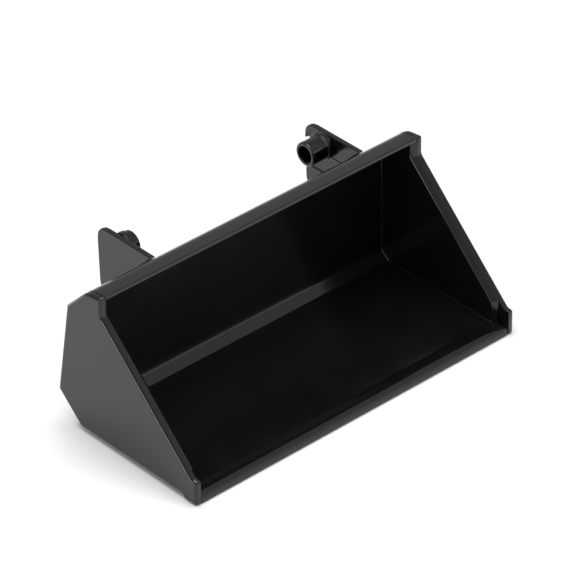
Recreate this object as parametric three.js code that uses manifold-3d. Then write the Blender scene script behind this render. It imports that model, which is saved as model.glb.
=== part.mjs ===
// Front bucket for a toy skid steer loader, moulded in black plastic.
// Units are millimetres, +Z is up, +X is the bucket's right, and the mouth faces -Y.
// The outlines are drawn from the side: the first number runs back from the front of the lip
// and the second runs up from the underside of the cutting edge.
// The origin is under the middle of the part, on the surface that it stands on.

import * as THREE from "three";
import { mergeVertices } from "three/addons/utils/BufferGeometryUtils.js";
import Module from "manifold-3d";

// Driving dimensions of the bucket.
const WIDTH = 125;
const WALL = 1.5;
const CHEEK_THICKNESS = 2;
const SIDE_WALL_THICKNESS = 1.9;
const SEAM = 0.15;
const EDGE_RADIUS = 0.5;
const CHEEK_RADIUS = 0.9;

// Side outline of the bucket.
const NOSE = { height: 8, back: 2.2, top: 8.4 };
const MOUTH_TOP = { back: 39.2, up: 44.4 };
const RIM = { front: 39.2, frontUp: 50.8, back: 45.6, backUp: 50 };
const SHOULDER = { back: 54.2, up: 41.5 };
const FIN = { back: 59.5, up: 10 };
const HEEL = { back: 49.9, up: 1.3 };
const RIM_CURVE = 2.2;
const LIP = { depth: 5.8, underDepth: 5.2, top: 2.85, curve: 2.1 };
const HOLLOW = { heelBack: 48.8, wallBack: 52.4, wallFoot: 5.5 };

// The side walls stop short of the nose, and their mouth edges are bevelled towards the inside.
const SIDE_WALL_FRONT = 4.2;
const MOUTH_BEVEL = 1.5;

// The two ears behind the bucket, and the hollow studs that the loader's arms snap onto.
const EAR_THICKNESS = 1.8;
const LEFT_EAR_X = -37.1;
const RIGHT_EAR_X = 43.8;
const EAR = { back: 70.5, up: 49.3, cornerRadius: 4.5, footRadius: 4 };
const EAR_FOOT = { back: 69.8, up: 27, rootUp: 13 };
const EAR_GAP = 0.05;

// The right ear has a notch in its rear edge and a shallow recess from there to its foot.
const NOTCH = { back: 68.2, low: 34.6, high: 44.8, flare: 1.2 };
const RECESS = { low: 34.9, high: 41.9, depth: 0.35 };

const STUD = { back: 61.4, up: 45.2, radius: 3.9, bore: 2.75, end: 1.6 };
const LEFT_STUD_LENGTH = 3.8;
const RIGHT_STUD_LENGTH = 8;
const COLLAR = { radius: 4.3, length: 2, chamfer: 0.35 };
const STUD_SEGMENTS = 40;

const HALF_WIDTH = WIDTH / 2;
const TUB_HALF = HALF_WIDTH - CHEEK_THICKNESS - SEAM;
const INNER_HALF = HALF_WIDTH - CHEEK_THICKNESS - SIDE_WALL_THICKNESS;

const wasm = await Module();
wasm.setup();

const bucketPlastic = plastic("bucket_plastic", 0x17181a, 0.42);
const studPlastic = plastic("stud_plastic", 0x0c0c0d, 0.22);

function plastic(name, color, roughness) {
  const material = new THREE.MeshStandardMaterial({ color, roughness, metalness: 0 });
  material.name = name;
  return material;
}

// A closed outline through [back, up, radius] corners; a corner with a radius is rounded off.
function outline(corners) {
  const shape = new THREE.Shape();
  corners.forEach(([back, up, radius = 0], index) => {
    const corner = new THREE.Vector2(back, up);
    const before = neighbour(corners, index - 1, corner, radius);
    const after = neighbour(corners, index + 1, corner, radius);
    if (index === 0) {
      shape.moveTo(before.x, before.y);
    } else {
      shape.lineTo(before.x, before.y);
    }
    if (radius > 0) {
      shape.quadraticCurveTo(corner.x, corner.y, after.x, after.y);
    }
  });
  shape.closePath();
  return shape;
}

// The point that lies one radius from a corner, towards the corner before or after it.
function neighbour(corners, index, corner, radius) {
  const [back, up] = corners[(index + corners.length) % corners.length];
  const towards = new THREE.Vector2(back, up).sub(corner).setLength(radius);
  return towards.add(corner);
}

// Extrudes a side outline across the bucket, from one X to another.
function across(shape, fromX, toX) {
  const geometry = new THREE.ExtrudeGeometry(shape, {
    depth: toX - fromX,
    bevelEnabled: false,
    curveSegments: 5,
  });
  const backAxis = new THREE.Vector3(0, 1, 0);
  const upAxis = new THREE.Vector3(0, 0, 1);
  const acrossAxis = new THREE.Vector3(1, 0, 0);
  geometry.applyMatrix4(new THREE.Matrix4().makeBasis(backAxis, upAxis, acrossAxis));
  geometry.translate(fromX, 0, 0);
  return geometry;
}

function toManifold(geometry) {
  geometry.deleteAttribute("normal");
  geometry.deleteAttribute("uv");
  const merged = mergeVertices(geometry, 1e-4);
  return new wasm.Manifold(new wasm.Mesh({
    numProp: 3,
    vertProperties: new Float32Array(merged.attributes.position.array),
    triVerts: new Uint32Array(merged.index.array),
  }));
}

function toGeometry(solid) {
  const { vertProperties, triVerts } = solid.getMesh();
  const geometry = new THREE.BufferGeometry();
  geometry.setAttribute("position", new THREE.BufferAttribute(vertProperties, 3));
  geometry.setIndex(new THREE.BufferAttribute(triVerts, 1));
  geometry.computeVertexNormals();
  return geometry;
}

function named(name, geometry, material) {
  const mesh = new THREE.Mesh(geometry, material);
  mesh.name = name;
  return mesh;
}

// Height of the slanted mouth edge at a given distance back.
function mouthHeight(back) {
  const slope = (MOUTH_TOP.up - NOSE.top) / (MOUTH_TOP.back - NOSE.back);
  return NOSE.top + (back - NOSE.back) * slope;
}

// Outer side plate: nose, slanted mouth edge, post under the rim, shoulder and rear fin.
function cheekOutline() {
  return outline([
    [0, 0, CHEEK_RADIUS],
    [0, NOSE.height, CHEEK_RADIUS],
    [NOSE.back, NOSE.top, CHEEK_RADIUS],
    [MOUTH_TOP.back, MOUTH_TOP.up, CHEEK_RADIUS],
    [RIM.front, RIM.frontUp, CHEEK_RADIUS],
    [RIM.back, RIM.backUp, RIM_CURVE],
    [SHOULDER.back, SHOULDER.up, CHEEK_RADIUS],
    [FIN.back, FIN.up, CHEEK_RADIUS],
    [HEEL.back, HEEL.up, CHEEK_RADIUS],
    [LIP.depth, HEEL.up, EDGE_RADIUS],
    [LIP.underDepth, 0, EDGE_RADIUS],
  ]);
}

function makeCheek(name, outerX, innerX) {
  const geometry = across(cheekOutline(), Math.min(outerX, innerX), Math.max(outerX, innerX));
  return named(name, geometry, bucketPlastic);
}

// Height of the heel slope where it meets the outside of the back wall.
function heelCorner() {
  const slope = (FIN.up - HEEL.up) / (FIN.back - HEEL.back);
  return HEEL.up + (SHOULDER.back - HEEL.back) * slope;
}

// Floor, heel, back wall and two side walls, moulded in one and open at the mouth.
function makeTub() {
  const railUnder = railUnderside();
  const outside = outline([
    [LIP.depth + SEAM, HEEL.up],
    [HEEL.back, HEEL.up, 2 * EDGE_RADIUS],
    [SHOULDER.back, heelCorner(), 2 * EDGE_RADIUS],
    [SHOULDER.back, SHOULDER.up - SEAM],
    [railUnder.foot, SHOULDER.up - SEAM],
    [railUnder.bend, railUnder.bendUp - SEAM],
    [RIM.front, RIM.frontUp - WALL - SEAM],
    [MOUTH_TOP.back, MOUTH_TOP.up, EDGE_RADIUS],
    [SIDE_WALL_FRONT, mouthHeight(SIDE_WALL_FRONT), EDGE_RADIUS],
    [SIDE_WALL_FRONT, LIP.top + SEAM],
    [LIP.depth + SEAM, LIP.top + SEAM],
  ]);
  const inside = outline([
    [-WIDTH, LIP.top],
    [HOLLOW.heelBack, LIP.top, 2 * EDGE_RADIUS],
    [HOLLOW.wallBack, HOLLOW.wallFoot, 2 * EDGE_RADIUS],
    [HOLLOW.wallBack, WIDTH],
    [-WIDTH, WIDTH],
  ]);
  const block = toManifold(across(outside, -TUB_HALF, TUB_HALF));
  const hollow = toManifold(across(inside, -INNER_HALF, INNER_HALF));
  const cuts = [hollow, ...mouthCuts(-1), ...mouthCuts(1)];
  return named("tub", toGeometry(wasm.Manifold.difference([block, ...cuts])), bucketPlastic);
}

// Wedges that bevel one side wall's front, slanted and post edges; side is -1 or +1.
function mouthCuts(side) {
  const path = [
    new THREE.Vector2(SIDE_WALL_FRONT, LIP.top + SEAM),
    new THREE.Vector2(SIDE_WALL_FRONT, mouthHeight(SIDE_WALL_FRONT)),
    new THREE.Vector2(MOUTH_TOP.back, MOUTH_TOP.up),
    new THREE.Vector2(RIM.front, RIM.frontUp),
  ];
  const ends = path.map((point, index) => wedgeEnd(side, point, mitre(path, index)));
  return ends.slice(1).map((end, index) => wasm.Manifold.hull([...ends[index], ...end]));
}

// Three corners of a wedge where it crosses the side outline at a point.
function wedgeEnd(side, point, outwards) {
  const spare = 0.4;
  const out = point.clone().addScaledVector(outwards, spare);
  const deep = point.clone().addScaledVector(outwards, -MOUTH_BEVEL - spare);
  const nearX = side * (INNER_HALF - spare);
  const farX = side * (INNER_HALF + MOUTH_BEVEL + spare);
  return [[nearX, out.x, out.y], [nearX, deep.x, deep.y], [farX, out.x, out.y]];
}

// Direction out of the mouth at a corner of a path, as long as keeps both its sides parallel.
function mitre(path, index) {
  const here = path[index];
  const before = path[index - 1] ?? here.clone().multiplyScalar(2).sub(path[index + 1]);
  const after = path[index + 1] ?? here.clone().multiplyScalar(2).sub(path[index - 1]);
  const [into, onward] = [here.clone().sub(before), after.clone().sub(here)];
  const [first, second] = [into, onward].map((run) => new THREE.Vector2(-run.y, run.x).normalize());
  return first.clone().add(second).divideScalar(1 + first.dot(second));
}

// Where the underside of the top rail bends, and where it meets the back wall.
function railUnderside() {
  const run = new THREE.Vector2(SHOULDER.back - RIM.back, SHOULDER.up - RIM.backUp);
  const slope = run.y / run.x;
  const drop = WALL * Math.hypot(1, slope);
  const foot = RIM.back + (SHOULDER.up + drop - RIM.backUp) / slope;
  const bend = RIM.back - WALL / 2;
  return { foot, bend, bendUp: RIM.backUp + (bend - RIM.back) * slope - drop };
}

// Flat top flange that runs on down the shoulder to the back wall.
function makeTopRail() {
  const under = railUnderside();
  const section = outline([
    [RIM.front, RIM.frontUp, EDGE_RADIUS],
    [RIM.back, RIM.backUp, RIM_CURVE],
    [SHOULDER.back, SHOULDER.up],
    [under.foot, SHOULDER.up],
    [under.bend, under.bendUp],
    [RIM.front, RIM.frontUp - WALL],
  ]);
  return named("top_rail", across(section, -TUB_HALF, TUB_HALF), bucketPlastic);
}

// Thicker bar along the front of the floor, stepped down below it.
function makeCuttingEdge() {
  const section = outline([
    [0, 0, EDGE_RADIUS],
    [0, LIP.top, LIP.curve],
    [LIP.depth, LIP.top],
    [LIP.depth, HEEL.up],
    [LIP.underDepth, 0, EDGE_RADIUS],
  ]);
  return named("cutting_edge", across(section, -TUB_HALF, TUB_HALF), bucketPlastic);
}

// Flat plate that stands back from the shoulder and the back wall, just below the rim.
function earPlate(leftX, rearEdge) {
  const backWall = SHOULDER.back + EAR_GAP;
  const slope = (SHOULDER.back - RIM.back) / (SHOULDER.up - RIM.backUp);
  return across(outline([
    [RIM.back + (EAR.up - RIM.backUp) * slope + 2 * EAR_GAP, EAR.up],
    [EAR.back, EAR.up, EAR.cornerRadius],
    ...rearEdge,
    [EAR_FOOT.back, EAR_FOOT.up, EAR.footRadius],
    [backWall, EAR_FOOT.rootUp],
    [backWall, SHOULDER.up + EAR_GAP],
  ]), leftX, leftX + EAR_THICKNESS);
}

function makeLeftEar() {
  return named("left_ear", earPlate(LEFT_EAR_X, []), bucketPlastic);
}

function makeRightEar() {
  const lean = (EAR.back - EAR_FOOT.back) / (EAR.up - EAR_FOOT.up);
  const rearAt = (up) => EAR.back - (EAR.up - up) * lean;
  const notchTop = NOTCH.high - NOTCH.flare;
  const notchFoot = NOTCH.low - NOTCH.flare;
  const plate = earPlate(RIGHT_EAR_X, [
    [rearAt(notchTop), notchTop, EDGE_RADIUS],
    [NOTCH.back, NOTCH.high, EDGE_RADIUS],
    [NOTCH.back, NOTCH.low, EDGE_RADIUS],
    [rearAt(notchFoot), notchFoot, EDGE_RADIUS],
  ]);
  const band = across(outline([
    [SHOULDER.back - WALL, RECESS.low],
    [EAR.back + WALL, RECESS.low],
    [EAR.back + WALL, RECESS.high],
    [SHOULDER.back - WALL, RECESS.high],
  ]), RIGHT_EAR_X - WALL, RIGHT_EAR_X + RECESS.depth);
  const solid = toManifold(plate).subtract(toManifold(band));
  return named("right_ear", toGeometry(solid), bucketPlastic);
}

// Hollow stud with a collar at its root; it points along +Y before it is turned.
function studGeometry(length) {
  const tip = COLLAR.chamfer;
  const profile = [
    [0, 0],
    [COLLAR.radius, 0],
    [COLLAR.radius, COLLAR.length - COLLAR.chamfer],
    [COLLAR.radius - COLLAR.chamfer, COLLAR.length],
    [STUD.radius, COLLAR.length],
    [STUD.radius, length - tip],
    [STUD.radius - tip, length],
    [STUD.bore, length],
    [STUD.bore, STUD.end],
    [0, STUD.end],
  ];
  const points = profile.map(([radius, along]) => new THREE.Vector2(radius, along));
  return new THREE.LatheGeometry(points, STUD_SEGMENTS);
}

// Places a stud with its root on an ear's inner face; side is +1 or -1, the way it points in X.
function makeStud(name, length, rootX, side) {
  const stud = named(name, studGeometry(length), studPlastic);
  stud.rotation.z = -side * Math.PI / 2;
  stud.position.set(rootX + side * SEAM, STUD.back, STUD.up);
  return stud;
}

const bucket = new THREE.Group();
bucket.add(
  makeTub(),
  makeTopRail(),
  makeCuttingEdge(),
  makeCheek("left_cheek", -HALF_WIDTH, CHEEK_THICKNESS - HALF_WIDTH),
  makeCheek("right_cheek", HALF_WIDTH, HALF_WIDTH - CHEEK_THICKNESS),
  makeLeftEar(),
  makeRightEar(),
  makeStud("left_stud", LEFT_STUD_LENGTH, LEFT_EAR_X + EAR_THICKNESS, 1),
  makeStud("right_stud", RIGHT_STUD_LENGTH, RIGHT_EAR_X, -1),
);
const box = new THREE.Box3().setFromObject(bucket);
bucket.position.y = -(box.min.y + box.max.y) / 2;

export default bucket;
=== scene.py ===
# Looks of the toy skid steer bucket: moulded black plastic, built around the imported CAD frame.
# Lengths are in metres in the row frame: X across the bucket, -Y out of its mouth, Z up.
import math

import bmesh
import bpy
from mathutils import Matrix, Vector
from mathutils.geometry import intersect_line_line


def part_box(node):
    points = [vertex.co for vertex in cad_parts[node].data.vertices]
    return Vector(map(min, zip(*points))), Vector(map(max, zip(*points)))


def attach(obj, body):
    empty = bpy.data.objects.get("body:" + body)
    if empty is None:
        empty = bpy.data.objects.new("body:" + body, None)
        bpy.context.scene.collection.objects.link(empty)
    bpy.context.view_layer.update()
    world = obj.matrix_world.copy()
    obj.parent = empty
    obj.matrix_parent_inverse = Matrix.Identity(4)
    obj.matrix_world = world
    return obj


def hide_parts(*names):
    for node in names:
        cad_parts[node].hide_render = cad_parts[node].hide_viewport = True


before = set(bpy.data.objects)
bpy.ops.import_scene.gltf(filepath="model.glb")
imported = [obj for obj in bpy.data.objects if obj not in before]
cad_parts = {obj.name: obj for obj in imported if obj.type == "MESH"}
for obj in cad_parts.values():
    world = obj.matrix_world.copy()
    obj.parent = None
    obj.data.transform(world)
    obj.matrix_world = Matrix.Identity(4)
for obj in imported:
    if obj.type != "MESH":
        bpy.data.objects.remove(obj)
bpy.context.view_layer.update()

MM = 0.001
BODY = "root"

# Places read from the frame.
LEFT_CHEEK_LOW, LEFT_CHEEK_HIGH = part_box("left_cheek")
LIP_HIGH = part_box("cutting_edge")[1]
TUB_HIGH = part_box("tub")[1]
LIP_FRONT = LEFT_CHEEK_LOW.y
CHEEK_INNER_X = LEFT_CHEEK_HIGH.x

# Clean-up of the CAD meshes: how near is the same point, what is flat, what is sharp, how far a
# seam may be closed, and the longest facet of a side plate's rounded corners.
WELD = 0.002 * MM
FLAT_ANGLE = math.radians(0.6)
SHARP_ANGLE = math.radians(40)
SEAM_REACH = 0.3 * MM
CORNER_STEP = 0.4 * MM

# Edge radii of the mouldings: most edges, side plates' outer edges, corners and inner edges, and
# the tub's outer edges and inner corners.
EDGE_RADIUS = 0.42 * MM
CHEEK_RADIUS = 0.95 * MM
CORNER_RADIUS = 0.7 * MM
PLATE_RADIUS = 0.15 * MM
SMALL_RADIUS = 0.3 * MM
FILLET_RADIUS = 0.6 * MM
BEVEL_STEPS = 4

# Studs: half section and turning steps. Length and collar radius come from the frame.
STUD_RADIUS = 3.9 * MM
STUD_BORE = 2.75 * MM
STUD_FLOOR = 1.6 * MM
COLLAR_LENGTH = 2.0 * MM
STUD_ROUNDING = 0.6 * MM
STUD_TURNS = 96

# Camera and lens; the aim is measured from the front of the lip.
CAMERA_AZIMUTH = math.radians(42.08)
CAMERA_ELEVATION = math.radians(34.48)
CAMERA_ROLL = math.radians(-0.57)
CAMERA_DISTANCE = 1.335
CAMERA_LENS = 293
CAMERA_CLIP = (0.05, 20)
CAMERA_AIM = Vector((-0.67 * MM, LIP_FRONT + 30.37 * MM, 31.32 * MM))

# Studio. Each soft light has a name, a direction from the bucket, a distance, a width, a height
# and the brightness of its face.
FLOOR_GAP = 0.05 * MM
FLOOR_REACH = 8
FLOOR_TONE = (0.92, 0.92, 0.92)
WORLD_LEVEL = 0.5
SOFTBOXES = (
    ("left", (-1.0, 0.05, 0.16), 1.3, 0.8, 0.36, 5.5),
    ("front", (0.45, -0.52, 0.95), 1.4, 1.1, 0.75, 0.22),
    ("low_front", (0.55, -0.79, 0.31), 1.4, 1.3, 0.66, 0.6),
    ("top", (0.0, 0.1, 1.0), 1.5, 1.2, 1.2, 4.3),
)


# ---------------------------------------------------------------- meshes

def solid_of(node):
    """A CAD node's solid in the row frame, with its flat faces joined up."""
    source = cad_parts[node]
    bm = bmesh.new()
    bm.from_mesh(source.data)
    bm.transform(source.matrix_world)
    bmesh.ops.remove_doubles(bm, verts=bm.verts, dist=WELD)
    bmesh.ops.dissolve_limit(bm, angle_limit=FLAT_ANGLE, verts=bm.verts, edges=bm.edges)
    return bm


def weigh_edges(bm, radii, widest):
    """Marks each sharp edge for the bevel; radii(edge) gives its radius, or 0 to leave it."""
    weights = bm.edges.layers.float.new("bevel_weight_edge")
    for edge in bm.edges:
        if edge.calc_face_angle(0) > SHARP_ANGLE:
            edge[weights] = radii(edge) / widest


def finished(name, bm, node, material, radii=None, widest=EDGE_RADIUS):
    """Turns a bmesh into a rounded, shaded piece that stands for a CAD node."""
    weigh_edges(bm, radii or (lambda edge: EDGE_RADIUS), widest)
    mesh = bpy.data.meshes.new(name)
    bm.to_mesh(mesh)
    bm.free()
    mesh.shade_smooth()
    piece = bpy.data.objects.new(name, mesh)
    bpy.context.scene.collection.objects.link(piece)
    bevel = piece.modifiers.new("rounding", "BEVEL")
    bevel.limit_method = "WEIGHT"
    bevel.width = widest
    bevel.segments = BEVEL_STEPS
    bevel.use_clamp_overlap = False
    bevel.miter_outer = "MITER_ARC"
    normals = piece.modifiers.new("normals", "WEIGHTED_NORMAL")
    normals.keep_sharp = True
    normals.weight = 100
    mesh.materials.append(material)
    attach(piece, BODY)
    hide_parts(node)
    return piece


def lies_at(edge, axis, place):
    """Whether an edge lies in the plane at a place on an axis."""
    return all(abs(vert.co[axis] - place) < SEAM_REACH for vert in edge.verts)


# ---------------------------------------------------------------- pieces

def make_tub(material):
    """The tub, closed up against the cutting edge in front and the cheeks at its sides."""
    bm = solid_of("tub")
    seam = LIP_HIGH.y
    for vert in bm.verts:
        if abs(vert.co.z - LIP_HIGH.z) < SEAM_REACH and vert.co.y < seam + SEAM_REACH:
            vert.co.z = LIP_HIGH.z
        if abs(vert.co.y - seam) < SEAM_REACH and vert.co.z < LIP_HIGH.z + SEAM_REACH:
            vert.co.y = seam
        if TUB_HIGH.x - abs(vert.co.x) < WELD:
            vert.co.x = math.copysign(CHEEK_INNER_X, vert.co.x)
    bmesh.ops.remove_doubles(bm, verts=bm.verts, dist=WELD)

    def radii(edge):
        rearmost = max(vert.co.y for vert in edge.verts)
        widest = max(abs(vert.co.x) for vert in edge.verts)
        on_lip = lies_at(edge, 2, LIP_HIGH.z) and rearmost < seam + WELD
        if lies_at(edge, 1, seam) or on_lip or widest > TUB_HIGH.x:
            return 0
        return SMALL_RADIUS if edge.is_convex else FILLET_RADIUS

    return finished("tub_shell", bm, "tub", material, radii, FILLET_RADIUS)


def make_lip(material):
    """The cutting edge, with no rounding where it meets the tub's floor."""
    def radii(edge):
        return 0 if lies_at(edge, 1, LIP_HIGH.y) else EDGE_RADIUS

    bm = solid_of("cutting_edge")
    return finished("lip_bar", bm, "cutting_edge", material, radii)


def sharp_outline(face, low, high):
    """The corners of a flat face, with each small rounding replaced by one point inside the box."""
    runs = [loop.edge for loop in face.loops if loop.edge.calc_length() > CORNER_STEP]
    corners = []
    for first, second in zip(runs, runs[1:] + runs[:1]):
        points = [vert.co for edge in (first, second) for vert in edge.verts]
        corner = intersect_line_line(*points)[0]
        corner.y = min(max(corner.y, low.y), high.y)
        corner.z = min(max(corner.z, low.z), high.z)
        corners.append(corner)
    return corners


def make_cheek(node, material):
    """A side plate, well rounded outside and nearly flush with the tub inside."""
    low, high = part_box(node)
    outer, inner = (low.x, high.x) if low.x < 0 else (high.x, low.x)
    plate = solid_of(node)
    largest = max(plate.faces, key=lambda face: face.calc_area())
    corners = sharp_outline(largest, low, high)
    plate.free()

    bm = bmesh.new()
    faces = [[bm.verts.new((x, corner.y, corner.z)) for corner in corners] for x in (outer, inner)]
    for face in faces:
        bm.faces.new(face)
    near, far = faces
    for index in range(len(corners)):
        bm.faces.new((near[index - 1], near[index], far[index], far[index - 1]))
    bmesh.ops.recalc_face_normals(bm, faces=bm.faces)

    def radii(edge):
        if lies_at(edge, 0, outer):
            return CHEEK_RADIUS
        return PLATE_RADIUS if lies_at(edge, 0, inner) else CORNER_RADIUS

    name = node + "_moulding"
    return finished(name, bm, node, material, radii, CHEEK_RADIUS)


def make_plain(node, material):
    """A piece with the CAD shape and the usual rounding."""
    return finished(node + "_moulding", solid_of(node), node, material)


def ring(bm, centre, radius):
    """A circle of vertices round an X axis through the centre."""
    angles = (2 * math.pi * step / STUD_TURNS for step in range(STUD_TURNS))
    return [bm.verts.new(centre + Vector((0, math.cos(a), math.sin(a))) * radius) for a in angles]


def rounded(corner, before, after, radius, steps=4):
    """Points of a rounding between two straight runs of a half section."""
    start = corner + (before - corner).normalized() * radius
    end = corner + (after - corner).normalized() * radius
    return [
        start.lerp(corner, t).lerp(corner.lerp(end, t), t)
        for t in (step / steps for step in range(steps + 1))
    ]


def stud_profile(length, collar):
    """Rounded half section of a stud, as points (along the stud, out from its axis)."""
    corners = [
        (0, 0, 0),
        (0, collar, STUD_ROUNDING / 3),
        (COLLAR_LENGTH, collar, STUD_ROUNDING / 2),
        (COLLAR_LENGTH, STUD_RADIUS, STUD_ROUNDING / 3),
        (length, STUD_RADIUS, STUD_ROUNDING),
        (length, STUD_BORE, STUD_ROUNDING / 2),
        (STUD_FLOOR, STUD_BORE, STUD_ROUNDING),
        (STUD_FLOOR, 0, 0),
    ]
    profile = []
    for index in range(1, len(corners) - 1):
        before, here, after = (Vector(corner[:2]) for corner in corners[index - 1:index + 2])
        profile.extend(rounded(here, before, after, corners[index][2]))
    return profile


def make_stud(node, side, material):
    """Hollow stud with a collar, turned from a half section; side is the way it points in X."""
    low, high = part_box(node)
    root = low.x if side > 0 else high.x
    middle = (low + high) / 2
    bm = bmesh.new()
    rings = []
    for along, radius in stud_profile(high.x - low.x, (high.z - low.z) / 2):
        rings.append(ring(bm, Vector((root + side * along, middle.y, middle.z)), radius))
    for first, second in zip(rings, rings[1:]):
        for step in range(STUD_TURNS):
            after = (step + 1) % STUD_TURNS
            bm.faces.new((first[step], first[after], second[after], second[step]))
    bm.faces.new(rings[0])
    bm.faces.new(reversed(rings[-1]))
    bmesh.ops.recalc_face_normals(bm, faces=bm.faces)
    return finished(node + "_turned", bm, node, material, lambda edge: 0)


# ---------------------------------------------------------------- materials

def new_material(name):
    """A node material, its node tree and its shader."""
    material = bpy.data.materials.new(name)
    material.use_nodes = True
    tree = material.node_tree
    shader = tree.nodes["Principled BSDF"]
    return material, tree, shader


def noise(tree, place, scale, detail):
    """A cloudy pattern; scale is in features per metre."""
    node = tree.nodes.new("ShaderNodeTexNoise")
    node.inputs["Scale"].default_value = scale
    node.inputs["Detail"].default_value = detail
    tree.links.new(place, node.inputs["Vector"])
    return node.outputs["Fac"]


def ramp(tree, value, stops):
    """A colour for each value, between the stops' (place, colour) pairs."""
    node = tree.nodes.new("ShaderNodeValToRGB")
    elements = node.color_ramp.elements
    for element, (place, tone) in zip(elements, stops):
        element.position = place
        element.color = (*tone, 1)
    tree.links.new(value, node.inputs["Fac"])
    return node.outputs["Color"]


def remap(tree, value, low, high, to_low, to_high):
    """The value, stretched from one range to another."""
    node = tree.nodes.new("ShaderNodeMapRange")
    node.inputs["From Min"].default_value = low
    node.inputs["From Max"].default_value = high
    node.inputs["To Min"].default_value = to_low
    node.inputs["To Max"].default_value = to_high
    tree.links.new(value, node.inputs["Value"])
    return node.outputs["Result"]


def bump(tree, height, distance, strength, normal=None):
    """A normal that follows a height pattern, on top of another normal where one is given."""
    node = tree.nodes.new("ShaderNodeBump")
    node.inputs["Distance"].default_value = distance
    node.inputs["Strength"].default_value = strength
    tree.links.new(height, node.inputs["Height"])
    if normal:
        tree.links.new(normal, node.inputs["Normal"])
    return node.outputs["Normal"]


def satin_black():
    """Moulded black ABS: near black, satin, with a fine grain and faint flow marks."""
    material, tree, shader = new_material("bucket_plastic")
    place = tree.nodes.new("ShaderNodeTexCoord").outputs["Object"]
    cloud = noise(tree, place, scale=90, detail=3)
    swell = noise(tree, place, scale=45, detail=2)
    grain = noise(tree, place, scale=3200, detail=2)
    tone = ramp(tree, cloud, ((0.3, (0.0034, 0.0037, 0.0037)), (0.7, (0.0044, 0.0048, 0.0048))))
    tree.links.new(tone, shader.inputs["Base Color"])
    roughness = remap(tree, cloud, low=0.3, high=0.7, to_low=0.13, to_high=0.18)
    tree.links.new(roughness, shader.inputs["Roughness"])
    flow = bump(tree, swell, distance=0.06 * MM, strength=0.35)
    surface = bump(tree, grain, distance=0.012 * MM, strength=0.35, normal=flow)
    tree.links.new(surface, shader.inputs["Normal"])
    shader.inputs["IOR"].default_value = 1.5
    shader.inputs["Specular Tint"].default_value = (0.93, 1.0, 1.0, 1)
    return material


def gloss_black():
    """Black acetal of the studs: darker and glossier than the bucket."""
    material, tree, shader = new_material("stud_plastic")
    place = tree.nodes.new("ShaderNodeTexCoord").outputs["Object"]
    cloud = noise(tree, place, scale=240, detail=3)
    ripple = noise(tree, place, scale=700, detail=2)
    tone = ramp(tree, cloud, ((0.3, (0.0016, 0.0017, 0.0017)), (0.7, (0.0028, 0.0029, 0.0029))))
    tree.links.new(tone, shader.inputs["Base Color"])
    roughness = remap(tree, cloud, low=0.3, high=0.7, to_low=0.1, to_high=0.16)
    tree.links.new(roughness, shader.inputs["Roughness"])
    tree.links.new(bump(tree, ripple, distance=0.01 * MM, strength=0.3), shader.inputs["Normal"])
    shader.inputs["IOR"].default_value = 1.5
    return material


def pale_floor():
    """Matt white paper, very slightly uneven in tone."""
    material, tree, shader = new_material("floor_paper")
    place = tree.nodes.new("ShaderNodeTexCoord").outputs["Object"]
    paper = noise(tree, place, scale=6, detail=3)
    darker = tuple(value - 0.006 for value in FLOOR_TONE)
    tone = ramp(tree, paper, ((0.3, darker), (0.7, FLOOR_TONE)))
    tree.links.new(tone, shader.inputs["Base Color"])
    shader.inputs["Roughness"].default_value = 0.9
    shader.inputs["Specular IOR Level"].default_value = 0.2
    return material


# ---------------------------------------------------------------- studio

def make_camera():
    """The camera looks down at the bucket's mouth from its front left."""
    towards = Vector((
        math.sin(CAMERA_AZIMUTH) * math.cos(CAMERA_ELEVATION),
        math.cos(CAMERA_AZIMUTH) * math.cos(CAMERA_ELEVATION),
        -math.sin(CAMERA_ELEVATION),
    ))
    data = bpy.data.cameras.new("camera")
    data.lens = CAMERA_LENS
    data.clip_start, data.clip_end = CAMERA_CLIP
    camera = bpy.data.objects.new("camera", data)
    turn = towards.to_track_quat("-Z", "Y").to_matrix().to_4x4()
    camera.matrix_world = (
        Matrix.Translation(CAMERA_AIM - towards * CAMERA_DISTANCE)
        @ turn
        @ Matrix.Rotation(CAMERA_ROLL, 4, "Z")
    )
    bpy.context.scene.collection.objects.link(camera)
    bpy.context.scene.camera = camera


def make_floor(material):
    """A wide floor just under the bucket."""
    mesh = bpy.data.meshes.new("floor")
    bm = bmesh.new()
    bmesh.ops.create_grid(bm, x_segments=1, y_segments=1, size=FLOOR_REACH)
    bm.to_mesh(mesh)
    bm.free()
    floor = bpy.data.objects.new("floor", mesh)
    floor.location.z = -FLOOR_GAP
    bpy.context.scene.collection.objects.link(floor)
    floor.data.materials.append(material)


def make_world():
    """An even white surround."""
    world = bpy.data.worlds.new("studio")
    bpy.context.scene.world = world
    world.use_nodes = True
    background = world.node_tree.nodes["Background"]
    background.inputs["Color"].default_value = (1, 1, 1, 1)
    background.inputs["Strength"].default_value = WORLD_LEVEL


def make_softbox(name, direction, distance, width, height, radiance):
    """A rectangular soft light that faces the bucket; radiance is how bright its face is."""
    data = bpy.data.lights.new(name, "AREA")
    data.shape = "RECTANGLE"
    data.size = width
    data.size_y = height
    data.energy = radiance * math.pi * width * height
    light = bpy.data.objects.new(name, data)
    away = Vector(direction).normalized()
    light.matrix_world = (
        Matrix.Translation(away * distance)
        @ (-away).to_track_quat("-Z", "Y").to_matrix().to_4x4()
    )
    light.visible_camera = False
    bpy.context.scene.collection.objects.link(light)


# ---------------------------------------------------------------- scene

plastic = satin_black()
gloss = gloss_black()

make_tub(plastic)
make_lip(plastic)
for node_name in ("left_cheek", "right_cheek"):
    make_cheek(node_name, plastic)
for node_name in ("top_rail", "left_ear", "right_ear"):
    make_plain(node_name, plastic)
make_stud("left_stud", 1, gloss)
make_stud("right_stud", -1, gloss)

make_camera()
make_floor(pale_floor())
make_world()
for softbox in SOFTBOXES:
    make_softbox(*softbox)
bpy.context.scene.view_settings.view_transform = "Standard"
